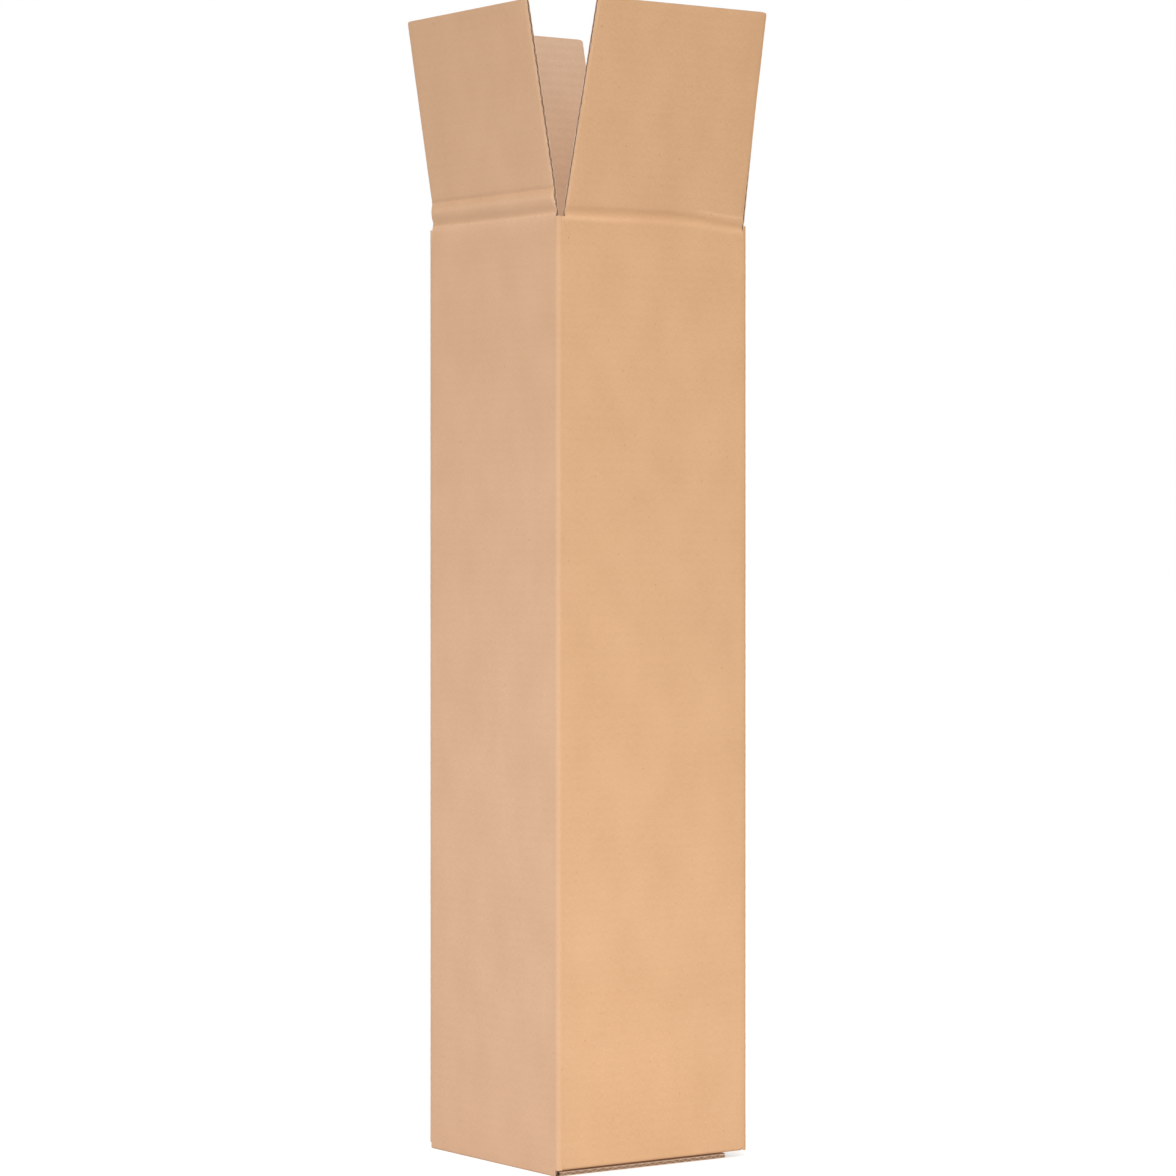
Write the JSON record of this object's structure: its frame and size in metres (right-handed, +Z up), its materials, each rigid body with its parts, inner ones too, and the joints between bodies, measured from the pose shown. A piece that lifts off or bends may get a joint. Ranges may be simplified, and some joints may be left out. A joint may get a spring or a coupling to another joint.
{
  "type": "square mailing tube",
  "caption": "Tall square carton of single-wall corrugated board, standing on its folded bottom with its top flaps open.",
  "frame": {"origin": "on the ground below the middle of the tube, in the plane of the outermost bottom flap's outer face", "axes": "+Z up along the tube; -Y is the front panel and -X the left panel, the two that the picture shows"},
  "size_m": [0.1892, 0.2064, 0.7434],
  "materials": {
    "kraft_board": "matt unbleached kraft board"
  },
  "bodies": {
    "tube": {"tube_body": "kraft_board"},
    "front_flap": {"flap_front": "kraft_board"},
    "rear_flap": {"flap_rear": "kraft_board"},
    "right_flap": {"flap_right": "kraft_board"},
    "left_flap": {"flap_left": "kraft_board"},
    "bottom_flap": {"bottom_flap_left": "kraft_board"}
  },
  "joints": [
    {"name": "front_flap_crease", "type": "hinge", "parent": "tube", "child": "front_flap", "pos_m": [0, -0.075, 0.609], "axis": [1, 0, 0], "range_deg": [-103.41, 161.59]},
    {"name": "rear_flap_crease", "type": "hinge", "parent": "tube", "child": "rear_flap", "pos_m": [0, 0.075, 0.6123], "axis": [-1, 0, 0], "range_deg": [-100.93, 164.07]},
    {"name": "right_flap_crease", "type": "hinge", "parent": "tube", "child": "right_flap", "pos_m": [0.075, 0, 0.6057], "axis": [0, 1, 0], "range_deg": [-98.38, 166.62]},
    {"name": "left_flap_crease", "type": "hinge", "parent": "tube", "child": "left_flap", "pos_m": [-0.075, 0, 0.623], "axis": [0, -1, 0], "range_deg": [-99.46, 165.54]},
    {"name": "bottom_flap_crease", "type": "hinge", "parent": "tube", "child": "bottom_flap", "pos_m": [-0.075, 0, 0], "axis": [0, 1, 0], "range_deg": [0, 265]}
  ]
}
